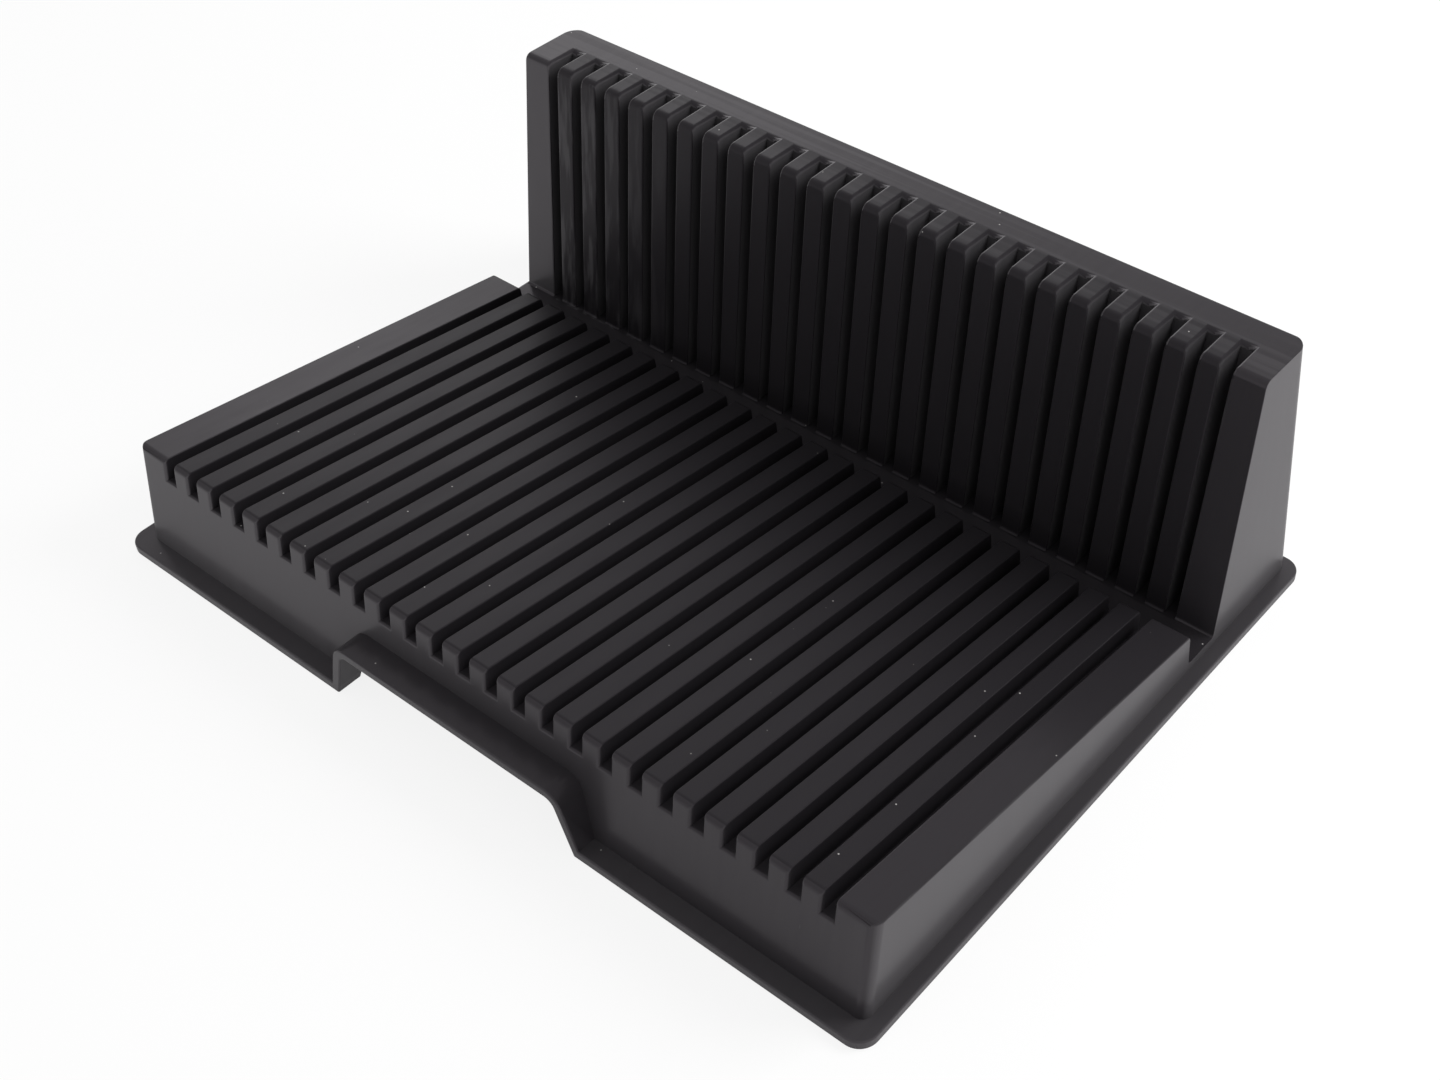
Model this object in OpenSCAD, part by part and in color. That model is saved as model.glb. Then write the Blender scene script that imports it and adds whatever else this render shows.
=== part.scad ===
// L-shaped circuit board rack, moulded in one piece from black conductive plastic.
// A tilted floor with a comb of slots meets a leaning back wall with a matching comb.
// The shell is open underneath and stands on a thin flange.
// Millimetres, +Z up, X along the width, front towards -Y, Z = 0 on the table.

/* [Slots] */
// Number of board slots across the rack
slot_count = 25; // [5:1:31]
// Distance between the centres of two slots
slot_pitch = 9.8; // [7:0.1:16]
// Width of a slot
slot_w = 3.7; // [2:0.1:5]
// Depth of the floor slots, square to the floor
floor_slot_depth = 6.4; // [3:0.1:9]
// Depth of the wall slots, along the depth of the rack
wall_slot_depth = 10.4; // [5:0.1:12]
// Plain land outside the last slot, at the foot of the side
side_land = 12.05; // [8:0.1:25]

/* [Floor] */
// Height of the floor's front edge above the table
floor_front_h = 34.3; // [31:0.1:45]
// Length of the floor from its front edge to the rib ends
floor_len = 133.6; // [90:0.1:160]
// Fall of the floor towards the wall, in degrees
floor_tilt = 7.4; // [3:0.1:8.5]
// Slope of the front face, in degrees from upright
front_slope = 8.8; // [2:0.1:12]
// Slope of the rib ends over the channel, in degrees from upright
rib_end_slope = 6; // [2:0.5:12]

/* [Channel] */
// Width of the cross channel at its floor, between rib ends and wall
channel_w = 12.5; // [8:0.1:20]
// Height of the channel's floor above the table
channel_h = 5.9; // [5:0.1:8]

/* [Wall] */
// Height of the wall's top above the table
wall_h = 86; // [70:0.5:110]
// Thickness of the wall at its top
wall_top_t = 21.6; // [19:0.1:30]
// Lean of the wall's front, in degrees from upright
wall_lean = 7.2; // [2:0.1:10]
// Slope of the wall's back, in degrees from upright
back_slope = 7; // [2:0.1:10]

/* [Shell] */
// Thickness of the moulded walls
shell_t = 2.4; // [1.6:0.1:3]
// Draft of the floor's two sides, in degrees from upright
side_draft = 0.6; // [0.3:0.1:2]
// Draft of the wall's two ends above the channel, in degrees from upright
end_draft = 1.7; // [0.3:0.1:3]
// Radius of the upright corners at the front
front_corner_r = 3; // [1:0.1:6]
// Radius of the upright corners at the back
back_corner_r = 5.3; // [1:0.1:8]
// Radius of the floor's front edge, on the ribs and the side lands
front_edge_r = 2; // [0.5:0.1:3]
// Radius of the edges round a slot's mouth in the front face
mouth_r = 1; // [0.3:0.1:2]
// Radius on the top of the rib ends
rib_end_r = 1.5; // [0.5:0.1:3]
// Radius in the two corners of the channel
channel_r = 1; // [0.3:0.1:2]
// Radius of the wall's front top edge
wall_front_r = 1.8; // [0.5:0.1:3]
// Radius of the wall's back top edge
wall_back_r = 1; // [0.3:0.1:3]

/* [Flange] */
// Thickness of the flange
flange_t = 2.8; // [1.8:0.1:4]
// Reach of the flange in front of the shell's foot
flange_front = 5.3; // [3:0.1:12]
// Reach of the flange beside the shell's foot
flange_side = 4.2; // [3:0.1:12]
// Reach of the flange behind the shell's foot
flange_back = 0.8; // [0.4:0.1:8]
// Radius of the flange's corners
flange_r = 5.5; // [2:0.1:8]

/* [Finger notch] */
// Width of the notch at the table
notch_w = 87.8; // [50:0.2:130]
// Height of the notch
notch_h = 17.3; // [10:0.1:19]
// Angle of the notch's ends, in degrees from the table
notch_angle = 73; // [60:1:85]
// Radius of the notch's upper corners
notch_r = 3; // [1:0.1:6]

/* [Hidden] */

// Facets of a rounded upright corner, and of each rounded edge of a profile
corner_facets = 48;
edge_steps = 5;
// Overlap of cutting solids past the surface that they cut
cut = 1;
// Height of the thin discs that the shell's corners are lofted between
disc_h = 0.01;

// The shell's half width at the table
foot_half_w = (slot_count - 1) / 2 * slot_pitch + slot_w / 2 + side_land;

// Places along the depth, from the flange's front edge
front_foot_y = flange_front;
floor_front_y = front_foot_y + floor_front_h * tan(front_slope);
rib_end_y = floor_front_y + floor_len;
rib_end_h = floor_front_h - floor_len * tan(floor_tilt);
channel_y = rib_end_y + (rib_end_h - channel_h) * tan(rib_end_slope);
wall_foot_y = channel_y + channel_w;
wall_front_y = wall_foot_y + (wall_h - channel_h) * tan(wall_lean);
wall_back_y = wall_front_y + wall_top_t;
back_foot_y = wall_back_y + wall_h * tan(back_slope);

// Outer size of the flange
base_w = 2 * (foot_half_w + flange_side);
base_d = back_foot_y + flange_back;

// Drop of the floor slots below the floor, measured upright
floor_slot_drop = floor_slot_depth / cos(floor_tilt);

// Places on the front face, the floor, the wall's front and back, and the sides
function front_y(z) = front_foot_y + z * tan(front_slope);
function floor_z(y) = floor_front_h - (y - floor_front_y) * tan(floor_tilt);
function wall_y(z) = wall_foot_y + (z - channel_h) * tan(wall_lean);
function back_y(z) = back_foot_y - z * tan(back_slope);
function side_x(z) = foot_half_w - z * tan(side_draft);
function end_x(z) = side_x(channel_h) - (z - channel_h) * tan(end_draft);

function unit(v) = v / norm(v);

// Points of an arc of radius r that rounds corner b between a and c
function rounded(a, b, c, r) =
    let (
        u = unit(a - b),
        v = unit(c - b),
        half = acos(u * v) / 2,
        centre = b + unit(u + v) * r / sin(half),
        from = b + u * r / tan(half) - centre,
        to = b + v * r / tan(half) - centre,
        sweep = 180 - 2 * half,
        turn = sign(from.x * to.y - from.y * to.x)
    )
    [for (i = [0 : edge_steps])
        let (angle = turn * sweep * i / edge_steps)
        centre + [
            from.x * cos(angle) - from.y * sin(angle),
            from.x * sin(angle) + from.y * cos(angle)
        ]];

// An outline whose corners [point, radius] are rounded, or sharp where the radius is 0
function outline(corners) =
    let (n = len(corners))
    [for (i = [0 : n - 1])
        let (
            before = corners[(i + n - 1) % n][0],
            here = corners[i][0],
            after = corners[(i + 1) % n][0],
            r = corners[i][1]
        )
        each r > 0 ? rounded(before, here, after, r) : [here]];

// A profile drawn in depth and height, extruded across the width
module across(w) {
    rotate([90, 0, 90])
        linear_extrude(w, center = true)
            children();
}

// A profile drawn in width and height, extruded along the depth
module along(from_y, to_y) {
    translate([0, to_y, 0])
        rotate([90, 0, 0])
            linear_extrude(to_y - from_y)
                children();
}

// The four corner discs of the shell at one height, drawn in by a wall thickness
module corner_discs(z, half_w, inset) {
    r_front = max(front_corner_r - inset, shell_t / 4);
    r_back = max(back_corner_r - inset, shell_t / 4);
    for (side = [-1, 1]) {
        translate([side * (half_w - inset - r_front), front_y(z) + inset + r_front, z])
            cylinder(disc_h, r = r_front, $fn = corner_facets);
        translate([side * (half_w - inset - r_back), back_y(z) - inset - r_back, z])
            cylinder(disc_h, r = r_back, $fn = corner_facets);
    }
}

// The tapered blocks that bound the floor and the wall above the channel's floor
module floor_block(inset) {
    hull() {
        corner_discs(0, side_x(0), inset);
        corner_discs(wall_h, side_x(wall_h), inset);
    }
}

module wall_block(inset) {
    translate([0, 0, -disc_h]) hull() {
        corner_discs(channel_h, end_x(channel_h), inset);
        corner_discs(wall_h, end_x(wall_h), inset);
    }
}

// One half of a side view: the floor with all that lies low, or the wall above the channel
module low_half() {
    translate([0, -cut]) {
        square([channel_y + channel_w / 2, wall_h + cut]);
        square([base_d, channel_h + cut]);
    }
}

module wall_half() {
    translate([channel_y + channel_w / 2, channel_h - disc_h])
        square([base_d, wall_h]);
}

// A side view swept across the width, bounded by the tapered blocks
module bounded(inset) {
    intersection() {
        floor_block(inset);
        across(base_w) intersection() {
            low_half();
            children();
        }
    }
    intersection() {
        wall_block(inset);
        across(base_w) intersection() {
            wall_half();
            children();
        }
    }
}

// Side view of the outside: floor, channel and wall
module outside_profile() {
    polygon(outline([
        [[front_y(-cut), -cut], 0],
        [[floor_front_y, floor_front_h], front_edge_r],
        [[rib_end_y, rib_end_h], rib_end_r],
        [[channel_y, channel_h], channel_r],
        [[wall_foot_y, channel_h], channel_r],
        [[wall_front_y, wall_h], wall_front_r],
        [[wall_back_y, wall_h], wall_back_r],
        [[back_y(-cut), -cut], 0]
    ]));
}

// Side view of the hollow: one skin under the slots, the channel and the wall's top
module hollow_profile() {
    ceiling_drop = floor_slot_drop + shell_t / cos(floor_tilt);
    step_y = rib_end_y - shell_t;
    wall_skin = wall_slot_depth + shell_t / cos(wall_lean);
    under_channel = channel_h - shell_t;
    under_top = wall_h - shell_t;
    polygon([
        [front_foot_y - cut, -cut],
        [front_foot_y - cut, floor_z(front_foot_y - cut) - ceiling_drop],
        [step_y, floor_z(step_y) - ceiling_drop],
        [step_y, under_channel],
        [wall_y(under_channel) + wall_skin, under_channel],
        [wall_y(under_top) + wall_skin, under_top],
        [back_foot_y + cut, under_top],
        [back_foot_y + cut, -cut]
    ]);
}

// Side view of a floor slot, open over a round lip at the front and over the channel
module floor_slot_profile() {
    end_y = rib_end_y + channel_w / 2;
    end = [end_y, floor_z(end_y) - floor_slot_drop];
    lip_z = floor_front_h - floor_slot_drop / (1 - tan(floor_tilt) * tan(front_slope));
    lip = rounded(end, [front_y(lip_z), lip_z], [front_y(0), 0], mouth_r);
    foot = lip[edge_steps];
    polygon(concat(lip, [
        [foot.x - cut, foot.y],
        [foot.x - cut, floor_front_h + cut],
        [end.x, floor_front_h + cut],
        end
    ]));
}

// Side view of a wall slot, from the channel's floor out through the wall's top
module wall_slot_profile() {
    top = wall_h + cut;
    polygon([
        [wall_foot_y - channel_r, channel_h],
        [wall_foot_y + wall_slot_depth, channel_h],
        [wall_y(top) + wall_slot_depth, top],
        [wall_y(top) - wall_front_r - cut, top]
    ]);
}

// Plan of a slot's mouth, square to the front face, with both edges rounded
module mouth_plan() {
    inner = [slot_w / 2, 2 * mouth_r];
    corner = [slot_w / 2, 0];
    outer = [slot_w / 2 + 2 * mouth_r, 0];
    edge = rounded(inner, corner, outer, mouth_r);
    polygon(concat(
        edge,
        [[slot_w / 2 + mouth_r, -cut], [-slot_w / 2 - mouth_r, -cut]],
        [for (i = [edge_steps : -1 : 0]) [-edge[i].x, edge[i].y]]
    ));
}

// The widening of a floor slot where it opens at the front face
module slot_mouth() {
    intersection() {
        translate([0, front_foot_y, 0])
            rotate([-front_slope, 0, 0])
                linear_extrude(2 * floor_front_h)
                    mouth_plan();
        across(slot_w + 3 * mouth_r) floor_slot_profile();
    }
}

// Both combs of slots, in line with each other
module slots() {
    for (i = [0 : slot_count - 1]) {
        translate([(i - (slot_count - 1) / 2) * slot_pitch, 0, 0]) {
            across(slot_w) floor_slot_profile();
            slot_mouth();
            across(slot_w) wall_slot_profile();
        }
    }
}

// Front view of the finger notch, grown by a margin on all sides
module notch_profile(margin) {
    half_foot = notch_w / 2 + margin / sin(notch_angle);
    run = 1 / tan(notch_angle);
    top = notch_h + margin;
    polygon(outline([
        [[-half_foot - cut * run, -cut], 0],
        [[-half_foot + top * run, top], notch_r + margin],
        [[half_foot - top * run, top], notch_r + margin],
        [[half_foot + cut * run, -cut], 0]
    ]));
}

// The flat flange with rounded corners
module flange() {
    linear_extrude(flange_t) {
        translate([-base_w / 2 + flange_r, 0])
            square([base_w - 2 * flange_r, base_d]);
        translate([-base_w / 2, flange_r])
            square([base_w, base_d - 2 * flange_r]);
        for (x = [-1, 1], y = [flange_r, base_d - flange_r])
            translate([x * (base_w / 2 - flange_r), y])
                circle(flange_r, $fn = corner_facets);
    }
}

// The flange's raised run over the finger notch, filled until the notch is cut
module raised_flange() {
    top = notch_h + flange_t;
    intersection() {
        along(0, front_y(top) + shell_t / 2) notch_profile(flange_t);
        translate([-base_w / 2, 0, 0]) cube([base_w, base_d, top]);
    }
}

// The whole moulding
module rack_body() {
    color("#2b2b2d")
        translate([0, -base_d / 2, 0])
            difference() {
                union() {
                    bounded(0) outside_profile();
                    flange();
                    raised_flange();
                }
                translate([0, 0, -disc_h]) bounded(shell_t) hollow_profile();
                along(-cut, front_y(notch_h) + 2 * shell_t) notch_profile(0);
                slots();
            }
}

rack_body();
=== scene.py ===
import math

import bmesh
import bpy
from mathutils import Matrix, Vector


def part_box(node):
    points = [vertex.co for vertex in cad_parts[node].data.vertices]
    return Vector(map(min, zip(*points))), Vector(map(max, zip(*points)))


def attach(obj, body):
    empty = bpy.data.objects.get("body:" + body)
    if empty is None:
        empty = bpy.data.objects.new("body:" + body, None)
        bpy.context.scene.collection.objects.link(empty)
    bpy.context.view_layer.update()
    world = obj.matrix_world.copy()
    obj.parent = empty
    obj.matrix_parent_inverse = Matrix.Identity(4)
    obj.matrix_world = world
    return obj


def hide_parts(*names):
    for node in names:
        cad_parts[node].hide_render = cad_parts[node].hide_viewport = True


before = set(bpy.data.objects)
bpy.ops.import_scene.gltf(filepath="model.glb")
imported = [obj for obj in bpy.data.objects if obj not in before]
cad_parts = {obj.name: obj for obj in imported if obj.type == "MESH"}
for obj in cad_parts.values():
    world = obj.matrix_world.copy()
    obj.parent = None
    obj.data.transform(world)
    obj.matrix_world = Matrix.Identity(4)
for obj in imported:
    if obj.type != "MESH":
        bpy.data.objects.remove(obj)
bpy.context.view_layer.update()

# Rack body
# One L-shaped moulding that holds circuit boards on edge in two combs of slots.
# Black conductive plastic, injection moulded in one shot and open underneath,
# so its outer edges are soft, most of all round the mouths of the slots in the wall's top.
MM = 0.001
FLANGE_THICK = 2.8 * MM
CHANNEL_TOP = 5.9 * MM
SIDE_BAND = 13.3 * MM
WALL_FOOT = 56.2 * MM
WALL_FRONT = 67.5 * MM
WALL_ROUND = 1.7 * MM
ROUNDER = 1.25
FOOT_EDGE = 0.25 * MM
FLANGE_EDGE = 0.5 * MM
SIDE_EDGE = 0.45 * MM
RIB_EDGE = 0.35 * MM
WALL_EDGE = 0.18 * MM
MOUTH_EDGE = 1.4 * MM
MOUTH_DEPTH = 3 * MM
EDGE_STEPS = 3
FLAT_TURN = math.radians(0.3)
SHARP_TURN = math.radians(32)
SQUARE_TURN = math.radians(90)
UPRIGHT_Z = 0.2
SIDEWARD_X = 0.1
FLAT_AREA = 250 * MM * MM
NEAR = 0.05 * MM
SLIVER = 0.003 * MM

rack_low, rack_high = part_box("rack_body")
flange_top = rack_low.z + FLANGE_THICK
side_start = rack_high.x - SIDE_BAND

rack_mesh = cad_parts["rack_body"].data.copy()
shell = bmesh.new()
shell.from_mesh(rack_mesh)
bmesh.ops.remove_doubles(shell, verts=shell.verts, dist=SLIVER)
bmesh.ops.dissolve_degenerate(shell, dist=SLIVER, edges=shell.edges)
bmesh.ops.dissolve_limit(shell, angle_limit=FLAT_TURN, verts=shell.verts, edges=shell.edges)

# The arc along the front of the wall's top grows about its corner line.
for vert in shell.verts:
    back = vert.co.y - WALL_FRONT
    down = vert.co.z - rack_high.z
    if abs(back) < WALL_ROUND and abs(down) < WALL_ROUND:
        vert.co.y = WALL_FRONT + back * ROUNDER
        vert.co.z = rack_high.z + down * ROUNDER
shell.normal_update()


def on_side(face):
    """True for the upright faces of both ends, with their rounded corners."""
    middle = face.calc_center_median()
    upright = abs(face.normal.z) < UPRIGHT_Z and abs(face.normal.x) > SIDEWARD_X
    return upright and abs(middle.x) > side_start and middle.z > flange_top


def edge_radius(edge):
    """Radius that the mould gives an edge, by its place and the faces that meet there."""
    turn = edge.calc_face_angle_signed(0)
    middle = (edge.verts[0].co + edge.verts[1].co) / 2
    if turn < SHARP_TURN or abs(middle.z - CHANNEL_TOP) < NEAR:
        return 0
    if middle.z < rack_low.z + NEAR:
        return FOOT_EDGE
    if middle.z < flange_top + NEAR or middle.y < rack_low.y + NEAR:
        return FLANGE_EDGE
    if any(map(on_side, edge.link_faces)):
        return SIDE_EDGE * min(1, turn / SQUARE_TURN) if middle.y < WALL_FOOT else WALL_EDGE
    if middle.y < WALL_FOOT:
        return RIB_EDGE
    flare = max(0, 1 - (rack_high.z - middle.z) / MOUTH_DEPTH)
    return WALL_EDGE + (MOUTH_EDGE - WALL_EDGE) * flare


weight = shell.edges.layers.float.new("bevel_weight_edge")
for edge in shell.edges:
    edge[weight] = edge_radius(edge) / MOUTH_EDGE
    edge.smooth = edge[weight] > 0 or edge.calc_face_angle(0) < SHARP_TURN
for face in shell.faces:
    face.smooth = True
shell.to_mesh(rack_mesh)
shell.free()

# The softened edges take the second of two empty material slots, which marks them as edges.
rack_mesh.materials.clear()
for slot in range(2):
    rack_mesh.materials.append(None)
moulding = bpy.data.objects.new("moulding", rack_mesh)
bpy.context.scene.collection.objects.link(moulding)
soften = moulding.modifiers.new("soften", "BEVEL")
soften.limit_method = "WEIGHT"
soften.offset_type = "OFFSET"
soften.width = MOUTH_EDGE
soften.material = 1
soften.segments = EDGE_STEPS
soften.use_clamp_overlap = False
even = moulding.modifiers.new("even", "WEIGHTED_NORMAL")
even.keep_sharp = True
depsgraph = bpy.context.evaluated_depsgraph_get()
finished = bpy.data.meshes.new_from_object(moulding.evaluated_get(depsgraph))
finished.name = "rack"
soft_faces = [0] * len(finished.polygons)
finished.polygons.foreach_get("material_index", soft_faces)
finished.attributes.new("edge", "FLOAT", "FACE").data.foreach_set("value", soft_faces)
finished.polygons.foreach_set("material_index", [0] * len(finished.polygons))

# Large faces are shaded flat right up to their edges.
normals = [corner.vector.copy() for corner in finished.corner_normals]
for face in finished.polygons:
    if face.area > FLAT_AREA:
        for corner in face.loop_indices:
            normals[corner] = face.normal.copy()
finished.normals_split_custom_set(normals)
rack = bpy.data.objects.new("rack", finished)
bpy.context.scene.collection.objects.link(rack)
bpy.data.objects.remove(moulding)


class Wire:
    """One output of a shader node, whose arithmetic adds Math nodes to the same tree."""

    def __init__(self, tree, socket=None):
        self.tree = tree
        self.socket = socket

    def node(self, kind, settings=None, sockets=None, output=0):
        """A new node with its settings made first, then its sockets set or linked."""
        made = self.tree.nodes.new(kind)
        for name, value in (settings or {}).items():
            setattr(made, name, value)
        for name, value in (sockets or {}).items():
            if isinstance(value, Wire):
                self.tree.links.new(value.socket, made.inputs[name])
            else:
                made.inputs[name].default_value = value
        return Wire(self.tree, made.outputs[output] if made.outputs else None)

    def math(self, operation, first, second=0):
        return self.node("ShaderNodeMath", {"operation": operation}, {0: first, 1: second})

    def axis(self, name):
        """One part of a vector."""
        return self.node("ShaderNodeSeparateXYZ", sockets={"Vector": self}, output=name)

    def fade(self, start, end, first, last):
        """A smooth change from first to last while the value goes from start to end."""
        settings = {"interpolation_type": "SMOOTHSTEP"}
        places = {"From Min": start, "From Max": end, "To Min": first, "To Max": last}
        return self.node("ShaderNodeMapRange", settings, {"Value": self, **places})

    def noise(self, scale, detail, stretch=(1, 1, 1)):
        """Noise at this place, drawn out along an axis whose stretch is small."""
        grid = self.node("ShaderNodeVectorMath", {"operation": "MULTIPLY"}, {0: self, 1: stretch})
        return self.node("ShaderNodeTexNoise", sockets={"Vector": grid, "Scale": scale, "Detail": detail})

    def tint(self, first, second):
        """A colour between two others, by this share of the second."""
        return self.node("ShaderNodeMix", {"data_type": "RGBA"}, {0: self, 6: first, 7: second}, 2)

    def __add__(self, other):
        return self.math("ADD", self, other)

    def __radd__(self, other):
        return self.math("ADD", other, self)

    def __sub__(self, other):
        return self.math("SUBTRACT", self, other)

    def __rsub__(self, other):
        return self.math("SUBTRACT", other, self)

    def __mul__(self, other):
        return self.math("MULTIPLY", self, other)

    def __rmul__(self, other):
        return self.math("MULTIPLY", other, self)

    def __lt__(self, other):
        return self.math("LESS_THAN", self, other)

    def __gt__(self, other):
        return self.math("GREATER_THAN", self, other)

    def __or__(self, other):
        return self.math("MAXIMUM", self, other)

    def __abs__(self):
        return self.math("ABSOLUTE", self)


def new_tree(owner):
    """The emptied node tree of a material or a world, ready for new nodes."""
    owner.use_nodes = True
    owner.node_tree.nodes.clear()
    return Wire(owner.node_tree)


charcoal = bpy.data.materials.new("charcoal_plastic")
wire = new_tree(charcoal)
place = wire.node("ShaderNodeTexCoord", output="Object")
facing = wire.node("ShaderNodeNewGeometry", output="Normal")
edge = wire.node("ShaderNodeAttribute", {"attribute_name": "edge"}, output="Fac")

# Places on the rack: the two combs, the insides and mouths of the wall's slots, and the outer faces.
COMB_HALF = 119.5 * MM
COMB_FRONT = -88.8 * MM
COMB_BACK = 79.5 * MM
COMB_FOOT = 16.2 * MM
SLOT_START = 0.4 * MM
FRONT_END = -56.2 * MM
FRONT_FACING = -0.5
FLOOR_FALL = math.tan(math.radians(7.4))
WALL_LEAN = math.tan(math.radians(7.2))
UPWARD_FADE = (0.35, 0.7, 0, 1)
SIDEWAYS_FADE = (0.5, 0.9, 0, 1)
# The front's painted sheen is strongest on the left and fades out towards the right, as a painted
# reflection.
FRONT_FADE = (-135 * MM, 90 * MM, 1.45, 0)
HANDLED_FADE = (-COMB_HALF, -60 * MM, 1.3, 0)
across, along, up = place.axis("X"), place.axis("Y"), place.axis("Z")
inner = abs(across) < COMB_HALF
between = inner * (along > COMB_FRONT) * (along < COMB_BACK)
over_floor = up + FLOOR_FALL * along
behind_wall = along - WALL_FRONT + WALL_LEAN * (rack_high.z - up)
comb = between * ((over_floor > COMB_FOOT) | (along > WALL_FOOT))
# The insides of the wall's slots, whose upright faces get painted light that lifts their shade.
deep = comb * (behind_wall > SLOT_START)
mouth = edge * (up > rack_high.z - MOUTH_DEPTH) * (facing.axis("X") < 0)
upward = facing.axis("Z").fade(*UPWARD_FADE)
sideways = abs(facing.axis("X")).fade(*SIDEWAYS_FADE)
exposed = (along < FRONT_END) | (across < -COMB_HALF)
# Front faces that take painted sheen, fading from left to right.
front = exposed * (facing.axis("Y") < FRONT_FACING) * across.fade(*FRONT_FADE)
handled = across.fade(*HANDLED_FADE)
flange = up < FLANGE_THICK + NEAR
wall_top = up > rack_high.z - NEAR

# Wear and painted light: a lighter grey painted as sheen on the upright outer faces and the flange and as
# light inside the wall's slots, also rubbed on in streaks where things rub; worn edges and a few specks
# of dust.
GRAIN_SCALE = 2200
RIPPLE_SCALE = 35
CLOUD_SCALE = 14
STREAK_SCALE = 420
SWEEP_SCALE = 330
LONG_IN_Z = (1, 1, 0.03)
LONG_IN_Y = (1, 0.03, 1)
LONG_IN_X = (0.02, 1, 1)
SPECK_SCALE = 260
SPECK_SIZE = 0.075
SPECK_CHANCE = 0.72
RUB_FADE = (0.44, 0.66, 0, 1)
SWEEP_FADE = (0.42, 0.6, 0, 1)
CHIP_FADE = (0.45, 0.62, 0, 1)
# Share of painted light on the flange.
FLANGE_PAINTED_LIGHT = 0.7
SWEEP_FILM = 0.45
EVEN_SHARE = 0.32
CLOUD_SHARE = 0.5
STREAK_SHARE = 0.28
CHIP_SHARE = 0.7
BLACK = (0.0136, 0.0124, 0.0142, 1)
# The lighter grey of both the scuffs and the painted light.
SCUFF_AND_PAINTED_LIGHT = (0.0545, 0.0521, 0.0553, 1)
WORN = (0.030, 0.029, 0.031, 1)
DUST = (0.36, 0.35, 0.34, 1)
grain = place.noise(GRAIN_SCALE, detail=3)
ripple = place.noise(RIPPLE_SCALE, detail=4)
cloud = place.noise(CLOUD_SCALE, detail=5)
drawn = place.noise(STREAK_SCALE, detail=3, stretch=LONG_IN_Z)
slid = place.noise(STREAK_SCALE, detail=3, stretch=LONG_IN_Y)
swept = place.noise(SWEEP_SCALE, detail=3, stretch=LONG_IN_X)
streak = upward * slid + (1 - upward) * drawn
# Painted sheen on the upright faces outside the combs and on the front faces.
painted_sheen = (1 - upward) * ((1 - inner) * sideways | front)
rubbed = handled * (along > WALL_FOOT) * (comb - deep) * drawn.fade(*RUB_FADE)
swiped = SWEEP_FILM * wall_top * swept.fade(*SWEEP_FADE)
# Painted light on the sides, the front, the flange and inside the wall's slots, plus real rubbing on the
# wall's left ribs and sweeps on the wall's top.
painted_light_and_rub = (1 - comb) * (painted_sheen | (FLANGE_PAINTED_LIGHT * flange)) + deep * (1 - upward) + rubbed + swiped
chip = edge * (1 - comb) * ripple.fade(*CHIP_FADE)
cells = {"Vector": place, "Scale": SPECK_SCALE}
near_speck = wire.node("ShaderNodeTexVoronoi", sockets=cells, output="Distance")
lot = wire.node("ShaderNodeTexVoronoi", sockets=cells, output="Color").axis("X")
speck = near_speck.fade(0.5 * SPECK_SIZE, SPECK_SIZE, 1, 0) * (lot > SPECK_CHANCE)
# How much lighter grey is painted: evenly, in clouds and in streaks.
painted_light_and_scuff = painted_light_and_rub * (EVEN_SHARE + CLOUD_SHARE * cloud + STREAK_SHARE * streak)
# Chipped edges over the painted light and the scuffs.
painted_light_and_wear = (CHIP_SHARE * chip).tint(painted_light_and_scuff.tint(BLACK, SCUFF_AND_PAINTED_LIGHT), WORN)
colour = (speck * upward).tint(painted_light_and_wear, DUST)

# Finish: a satin skin of polish and matt, polished mouths in the wall's top and duller eroded combs.
GRAIN_HEIGHT = 0.008
RIPPLE_HEIGHT = 0.08
POLISH_ROUGHNESS = 0.22
MATT_ROUGHNESS = 0.65
MATT_SHARE = 0.6
COMB_ROUGHNESS = 0.44
CLOUD_ROUGHNESS = 0.10
STREAK_ROUGHNESS = 0.14
SKIN_GLOSS = 0.5
COMB_GLOSS = 0.2
height = GRAIN_HEIGHT * grain + RIPPLE_HEIGHT * ripple
relief = wire.node("ShaderNodeBump", sockets={"Height": height, "Strength": 1, "Distance": MM})


def finish(roughness, gloss):
    """The plastic with one of the mould's finishes."""
    uneven = CLOUD_ROUGHNESS * (cloud - 0.5) + STREAK_ROUGHNESS * (streak - 0.5)
    return wire.node(
        "ShaderNodeBsdfPrincipled",
        sockets={
            "Base Color": colour,
            "Roughness": roughness + uneven,
            "IOR": 1.5,
            "Specular IOR Level": gloss,
            "Specular Tint": (1, 0.915, 1, 1),
            "Normal": relief,
        },
    )


polish = finish(POLISH_ROUGHNESS, SKIN_GLOSS)
matt = finish(MATT_ROUGHNESS, SKIN_GLOSS)
eroded = finish(COMB_ROUGHNESS, COMB_GLOSS)
skin = wire.node("ShaderNodeMixShader", sockets={0: MATT_SHARE * (1 - mouth), 1: polish, 2: matt})
surface = wire.node("ShaderNodeMixShader", sockets={0: comb * (1 - mouth), 1: skin, 2: eroded})
wire.node("ShaderNodeOutputMaterial", sockets={"Surface": surface})
rack.data.materials.clear()
rack.data.materials.append(charcoal)
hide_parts("rack_body")
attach(rack, "root")

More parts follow.
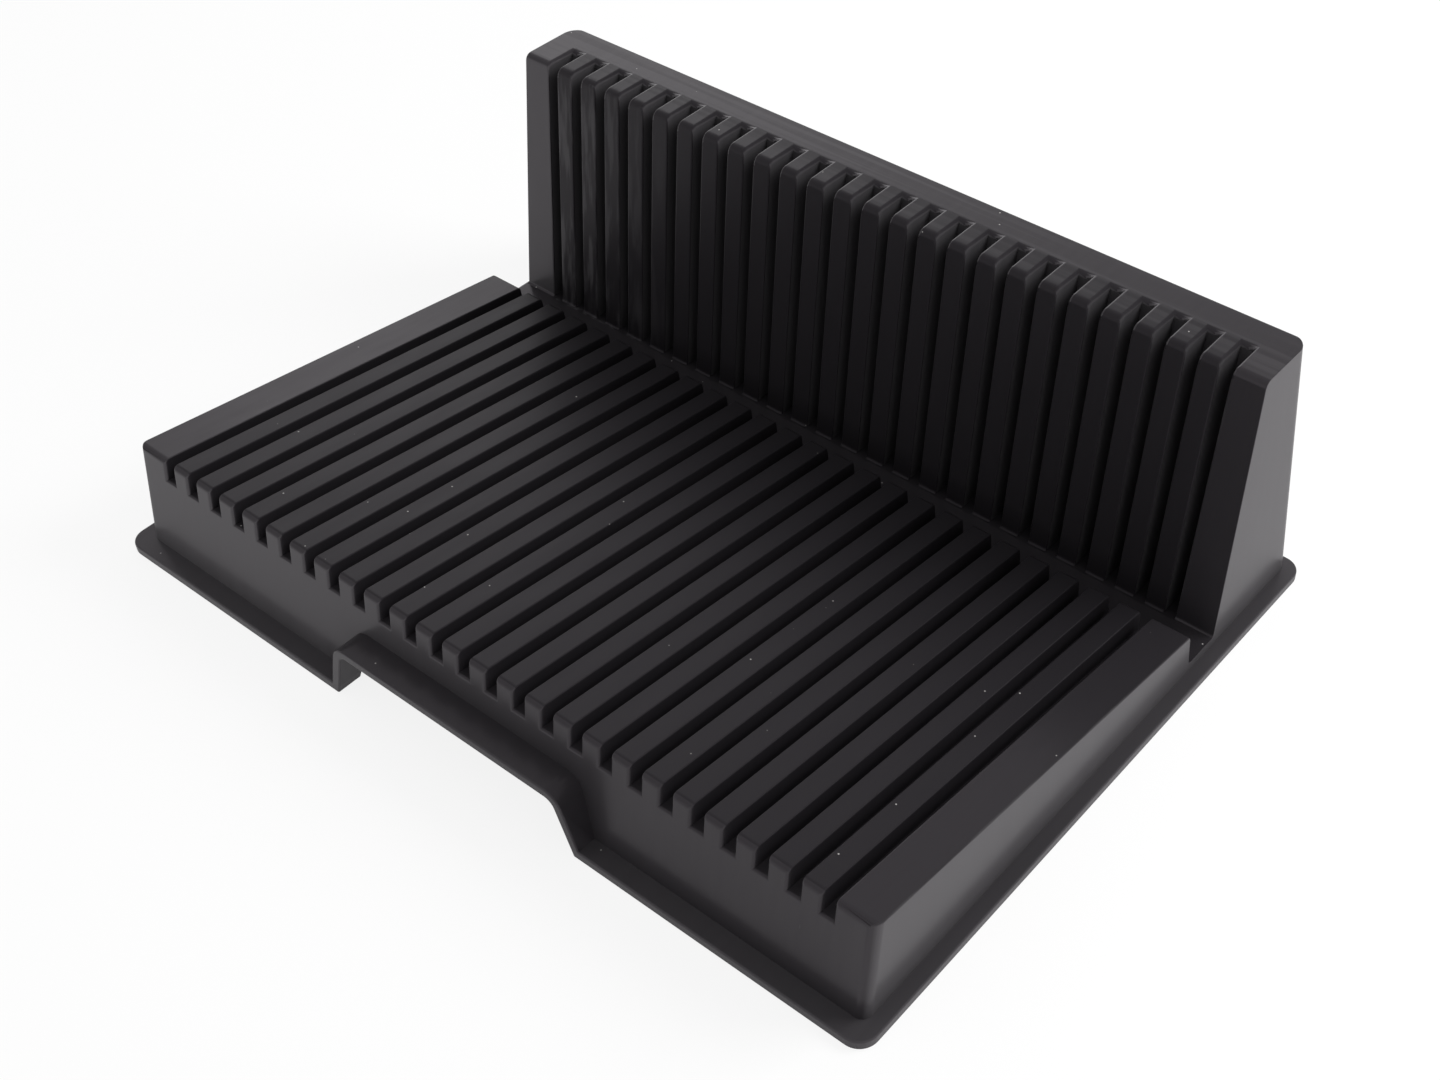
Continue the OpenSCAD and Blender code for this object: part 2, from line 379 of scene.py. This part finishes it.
# Table
# A wide white table top that the rack stands on, flat and painted.
# It looks white to the eye and pale in reflections, and keeps a soft shadow.
TABLE_SIZE = 6.0
SHADOW_SHARE = 0.15
MIRROR_SHADE = 0.55
PAINT = (0.9, 0.9, 0.9, 1)
WHITE = (1, 1, 1, 1)
half = TABLE_SIZE / 2
table_mesh = bpy.data.meshes.new("table")
table_mesh.from_pydata(
    [(-half, -half, 0), (half, -half, 0), (half, half, 0), (-half, half, 0)],
    [],
    [(0, 1, 2, 3)],
)
table = bpy.data.objects.new("table", table_mesh)
bpy.context.scene.collection.objects.link(table)
white_table = bpy.data.materials.new("white_table")
wire = new_tree(white_table)
seen = wire.node("ShaderNodeLightPath", output="Is Camera Ray")
mirrored = wire.node("ShaderNodeLightPath", output="Is Glossy Ray")
through = wire.node("ShaderNodeLightPath", output="Is Transmission Ray")
shown = seen * (1 - SHADOW_SHARE) + (mirrored + through) * (1 - MIRROR_SHADE)
paint = wire.node("ShaderNodeBsdfDiffuse", sockets={"Color": PAINT})
glow = wire.node("ShaderNodeEmission", sockets={"Color": WHITE, "Strength": 1})
mixed = wire.node("ShaderNodeMixShader", sockets={0: shown, 1: paint, 2: glow})
wire.node("ShaderNodeOutputMaterial", sockets={"Surface": mixed})
table_mesh.materials.append(white_table)

# Light
# A soft box behind on the right for the shadow and a long low panel behind on the left.
# Round the table stands a white backdrop, under a dimmer room that is brighter behind on the left.
SOFT_BOX_PLACE = Vector((0.55, 0.55, 0.6))
SOFT_BOX_SIZE = (0.5, 0.5)
SOFT_BOX_POWER = 8
PANEL_PLACE = Vector((-0.35, 0.62, 0.42))
PANEL_SIZE = (0.9, 0.25)
PANEL_POWER = 0.55
ROOM = 0.65
LIT_SIDE = 1.5
DIM_SIDE = 0.5
LIT_FROM = -0.74
DIM_FROM = -0.40
REAR_FROM = 0.2
REAR_TO = 0.55
BACKDROP_TOP = math.sin(math.radians(8))
ROOM_FROM = math.sin(math.radians(22))


def add_light(name, size, power, location):
    """An area light that faces the middle of the table."""
    lamp = bpy.data.lights.new(name, "AREA")
    lamp.shape = "RECTANGLE"
    lamp.size, lamp.size_y = size
    lamp.energy = power
    light = bpy.data.objects.new(name, lamp)
    light.location = location
    light.rotation_euler = (-location).to_track_quat("-Z", "Y").to_euler()
    bpy.context.scene.collection.objects.link(light)
    return light


soft_box = add_light("soft_box", SOFT_BOX_SIZE, SOFT_BOX_POWER, SOFT_BOX_PLACE)
soft_box.visible_glossy = False
add_light("panel", PANEL_SIZE, PANEL_POWER, PANEL_PLACE)
world = bpy.data.worlds.new("room")
bpy.context.scene.world = world
wire = new_tree(world)
direction = wire.node("ShaderNodeTexCoord", output="Generated")
low = direction.axis("Z").fade(BACKDROP_TOP, ROOM_FROM, 1, 0)
rear = direction.axis("Y").fade(REAR_FROM, REAR_TO, 0, 1)
lit = direction.axis("X").fade(LIT_FROM, DIM_FROM, LIT_SIDE, DIM_SIDE)
brightness = low + (1 - low) * ((1 - rear) * ROOM + rear * lit)
room = wire.node("ShaderNodeBackground", sockets={"Color": WHITE, "Strength": brightness})
wire.node("ShaderNodeOutputWorld", sockets={"Surface": room})

# Camera
# It looks down on the front right corner from close by, as the photograph was taken.
# The lens has no blur, and is shifted only as far as the photograph's framing needs.
CAMERA_PLACE = Vector((281.7, -283.1, 381.6)) * MM
AZIMUTH = math.radians(38.734)
TILT = math.radians(45.381)
ROLL = math.radians(-0.277)
SENSOR = 36
FOCAL_PX = 1918.2
CENTRE_PX = (859.4, 584.1)
IMAGE_PX = (1440, 1080)
CLIP_START = 10 * MM
lens = bpy.data.cameras.new("camera")
lens.sensor_fit = "HORIZONTAL"
lens.sensor_width = SENSOR
lens.lens = FOCAL_PX * SENSOR / IMAGE_PX[0]
lens.shift_x = (IMAGE_PX[0] / 2 - CENTRE_PX[0]) / IMAGE_PX[0]
lens.shift_y = (CENTRE_PX[1] - IMAGE_PX[1] / 2) / IMAGE_PX[0]
lens.clip_start = CLIP_START
camera = bpy.data.objects.new("camera", lens)
turned = Matrix.Rotation(AZIMUTH, 4, "Z") @ Matrix.Rotation(TILT, 4, "X")
camera.matrix_world = Matrix.Translation(CAMERA_PLACE) @ turned @ Matrix.Rotation(ROLL, 4, "Z")
bpy.context.scene.collection.objects.link(camera)
bpy.context.scene.camera = camera
bpy.context.scene.view_settings.view_transform = "Standard"
